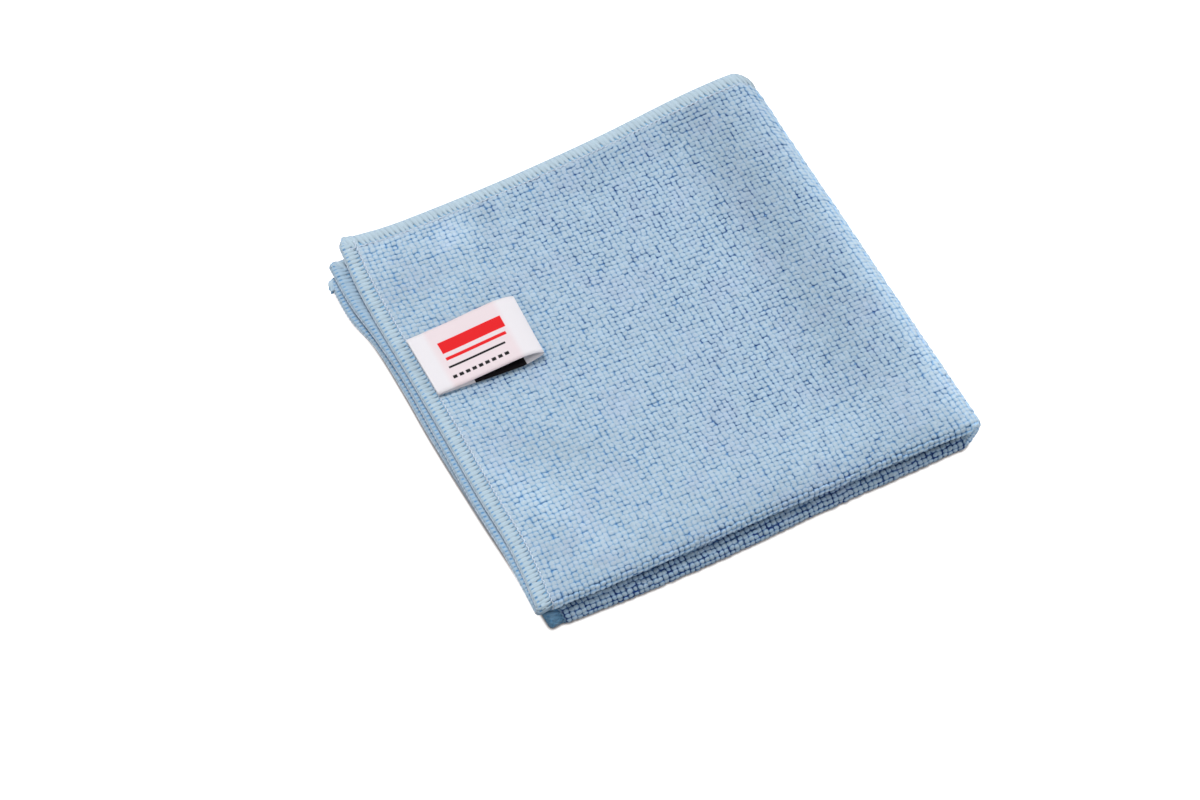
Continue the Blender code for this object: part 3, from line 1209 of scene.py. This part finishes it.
    def sites(self, patch: Patch) -> tuple[Array, Array]:
        """The places of a patch's tufts.

        Args:
            patch: The part of the sheet.

        Returns:
            Lengths from the left edge and from the back edge.
        """
        first = np.ceil((patch.start_a - self.margin) / self.column_pitch)
        last = np.ceil((patch.stop_a - self.margin) / self.column_pitch)
        columns = self.margin + np.arange(first, last) * self.column_pitch
        above = np.floor((patch.start_b - self.slant_head) / self.row_pitch)
        below = np.ceil(patch.stop_b / self.row_pitch) + 1
        a, b = np.meshgrid(columns, np.arange(above, below) * self.row_pitch)
        b = b + self.slant_shift(a, b)
        inside = (b >= patch.start_b) & (b < patch.stop_b)
        if patch.start_b == self.margin:
            a, b, inside = self.evened(a, b)
            inside &= b < patch.stop_b
        a, b = a[inside], b[inside]
        a, b = a + self.wander(a, b, 14 * MM, 3), b + self.wander(a, b, 15 * MM, 5)
        return a + self.draw.normal(0, self.jitter, a.shape), b + self.draw.normal(0, self.jitter, b.shape)

    def brushed_and_painted_light(self, points: Array, out: Array) -> Array:
        """How much lighter or darker the pile is: the brushing tone with painted light and shade on the top
        layer, painted shade on the layers under it, and painted light on the faces of the folds.

        Args:
            points: Where the tufts stand.
            out: Which way they stand.

        Returns:
            A share of their brightness for each.
        """
        x, y, z = (points / MM).T
        upper = ease(z, *self.upper_z)
        seen = np.maximum(np.maximum(upper, ease(x, *self.side_x)), self.face_least)
        # Painted light on the faces of the folds, where they turn to the side.
        face = self.face_light * ease(1.3 * (1 - np.abs(out[:, 2] + 0.15))) * seen
        tone = np.zeros(len(points))
        for nap_and_painted_light in self.naps_and_painted_light:
            tone += nap_and_painted_light.tone * within(nap_and_painted_light, x, y)
        # Painted shade on the layers under the top one.
        return np.minimum(mix(tone, self.lower_shade, 1 - upper) + face, self.face_most)

    def gap_shade_share(self, points: Array) -> Array:
        """How much painted shade darkens the gaps between the tufts: most on the lower layers and less at
        the right rim.

        Args:
            points: Where the tufts stand.

        Returns:
            A factor for each, which is 0 where the gaps get no painted shade.
        """
        x, y, z = (points / MM).T
        upper, rim = ease(z, *self.upper_z), ease(x, *self.rim_x)
        (label_x, half_x), (label_y, half_y) = self.label_x, self.label_y
        # The label's painted shadow in the gaps in front of it.
        label = np.exp(-(((x - label_x) / half_x) ** 4) - ((y - label_y) / half_y) ** 2)
        flat = self.gap_shade_right * ease(x + 0.15 * y, *self.right_x) * (1 - 0.5 * ease(-y, *self.front_y))
        flat = flat + self.label_shadow * label
        flat = np.maximum(flat, self.gap_shade_face * ease(-y, *self.face_y)) * (1 - rim)
        return flat * upper + self.gap_shade_fold * (1 - upper) * (1 - 0.6 * rim)

    def tufts(self, patch: Patch) -> bpy.types.Object:
        """Make one patch of pile.

        Args:
            patch: The part of the sheet.

        Returns:
            The piece.
        """
        a, b = self.sites(patch)
        count, turn = len(a), patch.side.value
        spot = self.sheet.skin(a, b, turn * 0.9 * self.sheet.half)
        unit = patch.shape.points
        # The outline of each tuft, squarish and a little lumpy.
        angle = np.arctan2(unit[:, 1], unit[:, 0])
        phase = self.draw.random((count, 2, 1)) * 2 * pi
        power = self.squareness
        square = (np.abs(np.cos(angle)) ** power + np.abs(np.sin(angle)) ** power) ** (-1 / power)
        second, third = self.lumps
        lumpy = 1 + second * np.cos(2 * angle + phase[:, 0]) + third * np.cos(3 * angle + phase[:, 1])
        size = factors(self.draw, self.size_swing, count)
        small = self.draw.random((count, 1)) < self.small_share
        size = np.where(small, size * self.small_size, size)
        twin = self.draw.random((count, 1)) < self.twin_share
        wide = patch.spread * self.column_pitch * size * np.where(twin, self.twin_width, 1.0)
        deep = patch.spread * self.row_pitch * size * factors(self.draw, self.depth_swing, count)
        # Each one is twisted, leans over and has its own height.
        twist = self.draw.normal(0, self.twist, (count, 1))
        flat_x = unit[:, 0] * square * lumpy * wide
        flat_y = unit[:, 1] * square * lumpy * deep
        lean = self.draw.normal(0, self.lean, (count, 2, 1))
        x = flat_x * np.cos(twist) - flat_y * np.sin(twist) + lean[:, 0] * unit[:, 2]
        y = flat_x * np.sin(twist) + flat_y * np.cos(twist) + lean[:, 1] * unit[:, 2]
        tall = patch.height * np.where(small, self.small_height, 1.0)
        z = self.foot + unit[:, 2] * (tall * factors(self.draw, self.height_swing, count))
        points = (
            spot.point[:, None]
            + x[..., None] * spot.right[:, None]
            - turn * y[..., None] * spot.down[:, None]
            + turn * z[..., None] * spot.out[:, None]
        )
        points[..., 2] = np.maximum(points[..., 2], 0.0)
        tone = np.clip(self.draw.normal(0.5, self.tone_swing, (count, 1)), 0, 1)
        # Painted shade in the gaps, deeper for some tufts than for others.
        depth = self.gap_shade_least + self.gap_shade_swing * self.draw.random((count, 1)) ** 3
        values = {
            "rise": unit[:, 2],
            "tone": tone,
            "nap_and_painted_light": self.brushed_and_painted_light(spot.point, turn * spot.out)[:, None],
            "gap_shade": self.gap_shade_share(spot.point)[:, None] * depth,
        }
        return patch.shape.joined(patch.name, points, values)

    def build(self) -> list[bpy.types.Object]:
        """Make all the pile."""
        sheet, edge = self.sheet, self.margin
        fine, coarse = tuft_shape(8, 3), tuft_shape(5, 2)
        low, tall = self.height, self.fold_height
        wide, loose = self.spread, self.fold_spread
        half_a, flat_a, flat_b = sheet.flat_a / 2, sheet.flat_a, sheet.flat_b
        bottom_a = flat_a + sheet.wrap_a
        last_a = sheet.length_a - edge
        front_b = flat_b + sheet.hairpin_b + self.fold_in
        rim_b = sheet.length_b - edge - self.back_strip
        outer, inner = Side.OUTER, Side.INNER
        patches = (
            Patch("pile_top_left", edge, half_a, edge, flat_b, outer, fine, low, wide),
            Patch("pile_top_right", half_a, flat_a, edge, flat_b, outer, fine, low, wide),
            Patch("pile_right_fold", flat_a, bottom_a, edge, front_b, outer, fine, tall, wide),
            Patch("pile_upper_front_fold", edge, flat_a, flat_b, front_b, outer, fine, tall, loose),
            Patch("pile_lower_front_fold", bottom_a, last_a, flat_b, front_b, outer, fine, tall, loose),
            Patch("pile_underside", bottom_a, last_a, edge, flat_b, outer, coarse, low, wide),
            Patch("pile_inner_back", edge, flat_a, rim_b, rim_b + self.back_strip, inner, coarse, low, wide),
        )
        material = PileFinish().material()
        return [finish_piece(self.tufts(patch), material, CLOTH_NODE) for patch in patches]


class Seam(NamedTuple):
    """What the overlock of one side is like, on its two cut edges."""

    way: Way
    slant: float  # how far the stitches lean along the edge for each length inward
    pitch: float
    neck: float  # how much narrower the stitches are just inside the rim, as a share of the pitch
    light: Color
    between: float  # how much painted shade makes the thread blue between two stitches, just inside the rim


class Line(NamedTuple):
    """How a thin cord lies along a cut edge, in metres."""

    inward: float  # how far in from the edge
    rise: float  # how far out of the sheet's middle
    sway: float  # how much it sways inward at each stitch
    hump: float  # how much it rises at each stitch
    radius: float


SEAMS = (
    Seam(Way.LEFT, 0.144, 1.82 * MM, 0.34, paint(175, 197, 212), 0.85),
    Seam(Way.BACK, -0.34, 2.0 * MM, 0.10, paint(181, 202, 216), 0.2),
)
RIM_LINE = Line(-0.24 * MM, 0.02 * MM, 0.05 * MM, 0.08 * MM, 0.17 * MM)
NEEDLE_LINE = Line(5.70 * MM, 1.00 * MM, 0.28 * MM, 0.18 * MM, 0.28 * MM)


@dataclass
class Overlock:
    """The overlocked edges: stitches round the rim, a line of looped thread on it and a needle chain."""

    sheet: FoldedSheet
    seam: Seam
    bulge: float = 0.40 * MM  # how much farther the rim reaches out on its lower half
    bulge_rise: float = 1.2 * MM
    bulge_depth: float = 0.9 * MM
    place_swing: float = 0.06
    width_swing: float = 0.06
    thickness_swing: float = 0.10
    tip_swing: float = 0.12
    tone_swing: float = 0.25
    overlap: float = 0.03  # how far a length of cord reaches into the next, as a share of the pitch
    # Where each of these starts and how far it takes to be in full, in millimetres: the painted shade where
    # the lower layers turn, forward and down, and the bluer painted shade on the thread under the top layer.
    under_y: Ends = (83.0, 4.0)
    under_z: Ends = (5.0, 3.0)
    low_z: Ends = (-10.8, 1.2)
    draw: np.random.Generator = field(default_factory=lambda: np.random.default_rng(THREAD_SEED))
    # The stitch's way from its inner end to the rim, which it follows back on the other face:
    # inward, rise, half width as a share of the pitch, neck, half thickness.
    upper_course: Rows = (
        (5.70, 0.76, 0.36, 0.0, 0.08),
        (5.10, 0.84, 0.42, 0.0, 0.10),
        (4.30, 0.92, 0.45, 0.0, 0.11),
        (3.50, 1.04, 0.56, 0.0, 0.12),
        (2.70, 1.20, 0.92, 0.0, 0.11),
        (1.50, 1.32, 0.92, 0.1, 0.11),
        (0.85, 1.32, 0.90, 1.0, 0.12),
        (0.35, 1.14, 0.90, 0.5, 0.14),
        (0.00, 0.50, 0.90, 0.0, 0.18),
    )

    @property
    def course(self) -> Array:
        """The stitch's whole way over the rim."""
        upper = np.array(self.upper_course)
        return np.vstack([upper, upper[::-1] * (1, -1, 1, 1, 1)])

    @property
    def length(self) -> float:
        """How long each of the two cut edges is."""
        return self.sheet.length_b if self.seam.way is Way.LEFT else self.sheet.length_a

    def locate(self, far: bool, along: Array, inward: Array, rise: Array) -> Array:
        """Points near a cut edge, kept above the floor.

        The rim swells out on its lower half, as the thread there hangs over the edge.

        Args:
            far: Whether it is the edge at the end of the sheet, and not the one at its start.
            along: How far along the edge.
            inward: How far in from the edge.
            rise: How far out of the sheet's middle.

        Returns:
            Points, one row each.
        """
        sheet, left = self.sheet, self.seam.way is Way.LEFT
        along, inward, rise = np.broadcast_arrays(along, inward, rise)
        deep = (sheet.length_a if left else sheet.length_b) - inward if far else inward
        spot = sheet.spot(deep, along) if left else sheet.spot(along, deep)
        inside = spot.right if left else spot.down
        below = ease(-rise * spot.out[..., 2], 0.0, self.bulge_rise)
        shift = self.bulge * below * np.exp(-((inward / self.bulge_depth) ** 2)) * (1 if far else -1)
        points = spot.point + rise[..., None] * spot.out + shift[..., None] * inside
        points[..., 2] = np.maximum(points[..., 2], 0.0)
        return points

    def turned_under(self, points: Array) -> Array:
        """How far into the shade the thread lies where the lower layers turn at the front fold."""
        y, z = points[..., 1] / MM, points[..., 2] / MM
        return ease(-y, *self.under_y) * (1 - ease(z, *self.under_z))

    def stitches(self, far: bool, unit: Array) -> tuple[Array, dict[str, Array]]:
        """Place the stitches of one cut edge.

        Args:
            far: Whether it is the edge at the end of the sheet.
            unit: The points of one straight strand.

        Returns:
            The points of each stitch and the numbers that they carry.
        """
        seam, course = self.seam, self.course
        count = int(self.length / seam.pitch)
        place = (np.arange(count) + 0.5) * self.length / count
        place = (place + self.draw.normal(0, self.place_swing * seam.pitch, count))[:, None]
        steps = np.arange(len(course))
        share = unit[:, 2] * steps[-1]
        inward, rise, half_width, neck, half_thick = (np.interp(share, steps, part) for part in course.T)
        half_width = half_width - neck * seam.neck
        way = np.stack([np.interp(share, steps, np.gradient(part)) for part in course.T[:2]])
        way /= np.linalg.norm(way, axis=0)
        wide = factors(self.draw, self.width_swing, count)
        thick = factors(self.draw, self.thickness_swing, count)
        reach = self.draw.normal(0.0, self.tip_swing, (count, 1)) * np.clip(inward - 3, 0, 3) / 3
        off = unit[:, 1] * half_thick * thick * MM
        inner = (inward + reach) * MM + off * way[1]
        over = rise * MM - off * way[0]
        along = place + unit[:, 0] * half_width * wide * seam.pitch - seam.slant * inner
        points = self.locate(far, along, inner, over)
        values = {
            "rise": np.clip(0.5 + 0.5 * unit[:, 1], 0, 1),
            "across": unit[:, 0] * half_width,
            "along": unit[:, 2],
            "tone": np.clip(self.draw.normal(0.5, self.tone_swing, (count, 1)), 0, 1),
            # Painted shade where the lower layers turn and on the thread under the top layer.
            "under": self.turned_under(points),
            "low": ease(-points[..., 2] / MM, *self.low_z),
        }
        return points, values

    def cord(self, far: bool, unit: Array, line: Line) -> tuple[Array, dict[str, Array]]:
        """Place a thin cord of looped thread along an edge, in short lengths that join up.

        Args:
            far: Whether it is the edge at the end of the sheet.
            unit: The points of one straight length.
            line: Where the cord lies on the edge.

        Returns:
            The points of each length and the numbers that they carry.
        """
        count = int(self.length / self.seam.pitch)
        place = np.arange(count)[:, None] + unit[:, 2] * (1 + 2 * self.overlap) - self.overlap
        swing = np.sin(2 * pi * place)
        spin = np.abs(np.sin(pi * place))
        inner = line.inward + swing * line.sway + unit[:, 0] * line.radius
        over = line.rise + spin * line.hump + unit[:, 1] * line.radius
        points = self.locate(far, place * self.length / count, inner, over)
        values = {
            "rise": 1.0,
            "across": unit[:, 0],
            "along": 0.5,
            "tone": self.draw.random((count, 1)),
            "under": self.turned_under(points),
        }
        return points, values

    def build(self) -> list[bpy.types.Object]:
        """Make the stitches and cords of this side's two edges."""
        stitch, link = strand_shape(6, len(self.course) - 1), strand_shape(5, 4)
        edges = (False, True)
        thread = ThreadFinish(
            "overlock_thread", self.seam.light, paint(116, 164, 204), 2.4, self.seam.between
        )
        loop = ThreadFinish("looper_thread", paint(202, 213, 228), paint(130, 160, 190), 1.0)
        needle = ThreadFinish("needle_thread", paint(202, 216, 232), paint(120, 164, 204), 1.0)
        parts = {
            "stitches": (stitch, thread, [self.stitches(far, stitch.points) for far in edges]),
            "rim_line": (link, loop, [self.cord(far, link.points, RIM_LINE) for far in edges]),
            "needle_chain": (link, needle, [self.cord(far, link.points, NEEDLE_LINE) for far in edges]),
        }
        pieces = []
        for part, (shape, finish, placed) in parts.items():
            points = np.concatenate([points for points, _ in placed])
            values = {
                key: np.concatenate([np.broadcast_to(row[key], spots.shape[:2]) for spots, row in placed])
                for key in placed[0][1]
            }
            piece = shape.joined(f"{self.seam.way.value}_{part}", points, values)
            pieces.append(finish_piece(piece, finish.material(), CLOTH_NODE))
        return pieces


@dataclass
class Label:
    """A satin tape folded at its right end, with both ends in the left seam."""

    sheet: FoldedSheet
    thickness: float = 0.24 * MM
    reach_front: float = 42.2
    reach_back: float = 43.2
    back: float = 34.4 * MM
    front: float = 7.2 * MM
    seam: float = 5.4 * MM
    lift: float = 0.75 * MM
    steps_along: int = 340
    steps_across: int = 14
    tooth: float = 0.09 * MM  # how far the woven sides stand in and out at each step
    flat_size: Ends = (0.0272, 0.0870)
    # Rows of share of the way to the fold, height, extra height at the back edge, and slide to the front.
    profile: Rows = (
        (0.00, 0.65, 0.0, 0.0),
        (0.18, 1.00, 0.1, 0.0),
        (0.36, 1.55, 0.2, 0.0),
        (0.54, 2.30, 0.4, 0.0),
        (0.70, 3.00, 0.5, 0.0),
        (0.82, 3.30, 0.6, 0.0),
        (0.91, 3.00, 0.7, 0.1),
        (0.97, 2.30, 0.8, 0.2),
        (1.00, 1.60, 0.9, 0.3),
        (0.98, 0.95, 0.8, 0.6),
        (0.91, 0.40, 0.5, 1.0),
        (0.80, 0.08, 0.3, 1.4),
        (0.62, 0.00, 0.2, 1.2),
        (0.42, 0.00, 0.1, 0.8),
        (0.20, 0.00, 0.0, 0.3),
        (0.00, 0.00, 0.0, 0.0),
    )

    def build(self) -> bpy.types.Object:
        """Make the looped tape."""
        sheet, rows = self.sheet, np.array(self.profile)
        grid = grid_object("label_tape", self.steps_along, self.steps_across)
        column, row = grid_shares(grid)
        walk = np.hypot(np.diff(rows[:, 0]) * self.reach_front, np.diff(rows[:, 1]))
        places = np.concatenate([[0.0], np.cumsum(walk)])
        along = column * places[-1]
        out, height, twist, forward = (smooth_curve(along, places, part) for part in rows.T)
        y = mix(self.front, self.back, row)
        seam_v = (sheet.back - y) / sheet.flat_b
        seam_x = sheet.middle(np.zeros_like(y), seam_v)[:, 0] + self.seam
        x = seam_x + out * mix(self.reach_front, self.reach_back, row) * MM
        y = y - forward * MM
        rim = np.where((row < 0.01) | (row > 0.99), self.tooth, 0.0)
        y = y + rim * np.where(np.round(column * self.steps_along) % 2 > 0.5, 1.0, -1.0)
        below = sheet.middle((x - sheet.left) / sheet.flat_a, (sheet.back - y) / sheet.flat_b)
        z = below[:, 2] + sheet.half + self.lift + (height + twist * row) * MM
        values = {"along": along, "across": row * (self.back - self.front) / MM}
        place_grid(grid, np.stack([x, y, z], axis=-1), values, self.thickness)
        return finish_piece(grid, SatinFinish().material(), LABEL_NODE)


# ---------------------------------------------------------------------------------------------
# The studio


class Softbox(NamedTuple):
    """A soft light from far away."""

    name: str
    comes_from: tuple[float, float, float]
    strength: float
    angle: float  # how much of the sky it fills, in degrees


@dataclass
class Studio:
    """A pale floor, soft light from above and behind, and the camera."""

    target: Vector = field(default_factory=lambda: Vector((-25.8, -15.5, 5.85)) * MM)
    distance: float = 1.373
    heading: float = 25.671
    fall: float = 55.625
    focal_pixels: float = 3755.9
    picture_width: int = 1200
    sensor: float = 36.0
    floor_size: float = 8.0
    sky: Color = (1.0, 1.0, 1.0, 1.0)
    sky_light: float = 0.30
    sky_shown: float = 1.0
    softboxes: tuple[Softbox, ...] = (
        Softbox("softbox_behind", (-0.06, 0.55, 1.0), 2.38, 24.0),
        Softbox("softbox_left", (-1.0, -0.10, 0.50), 0.42, 40.0),
        Softbox("softbox_right", (1.0, -0.25, 0.35), 0.84, 40.0),
        Softbox("softbox_front", (-0.15, -1.0, 0.32), 0.46, 50.0),
    )

    def floor(self) -> None:
        """Lay the floor."""
        floor = grid_object("floor", 1, 1, self.floor_size / 2)
        floor.data.materials.append(FloorFinish().material())

    def lights(self) -> None:
        """Hang the soft light and set the sky."""
        for box in self.softboxes:
            light = bpy.data.lights.new(box.name, "SUN")
            light.energy = box.strength
            light.angle = radians(box.angle)
            lamp = new_object(box.name, light)
            lamp.rotation_euler = Vector(box.comes_from).to_track_quat("Z", "Y").to_euler()
        board = Board(bpy.data.worlds.new("sky"))
        thrown, shown = (
            board.wire("ShaderNodeBackground", {}, {"Color": self.sky, "Strength": strength})
            for strength in (self.sky_light, self.sky_shown)
        )
        bpy.context.scene.world = board.close(board.by_ray(thrown, shown), "ShaderNodeOutputWorld")

    def camera(self) -> None:
        """Set the camera at the picture's viewing angle."""
        heading, fall = radians(self.heading), radians(self.fall)
        look = Vector((sin(heading) * cos(fall), cos(heading) * cos(fall), -sin(fall)))
        data = bpy.data.cameras.new("camera")
        data.sensor_width = self.sensor
        data.lens = self.focal_pixels / self.picture_width * self.sensor
        data.clip_start = 0.05
        camera = new_object("camera", data)
        camera.location = self.target - look * self.distance
        camera.rotation_euler = look.to_track_quat("-Z", "Y").to_euler()
        bpy.context.scene.camera = camera

    def build(self) -> None:
        """Set the stage."""
        self.floor()
        self.lights()
        self.camera()
        bpy.context.scene.view_settings.view_transform = "Standard"


def main() -> None:
    logging.basicConfig(level=logging.INFO, format="%(name)s: %(message)s")
    sheet = FoldedSheet()
    Studio().build()
    ground, tape = GroundCloth(sheet), Label(sheet)
    cloth = ground.build()
    trim = Pile(sheet).build()
    for seam in SEAMS:
        trim += Overlock(sheet, seam).build()
    label = tape.build()
    for piece in (cloth, *trim, label):
        log.info("%s: %d points, %d faces", piece.name, len(piece.data.vertices), len(piece.data.polygons))


if __name__ == "__main__":
    main()
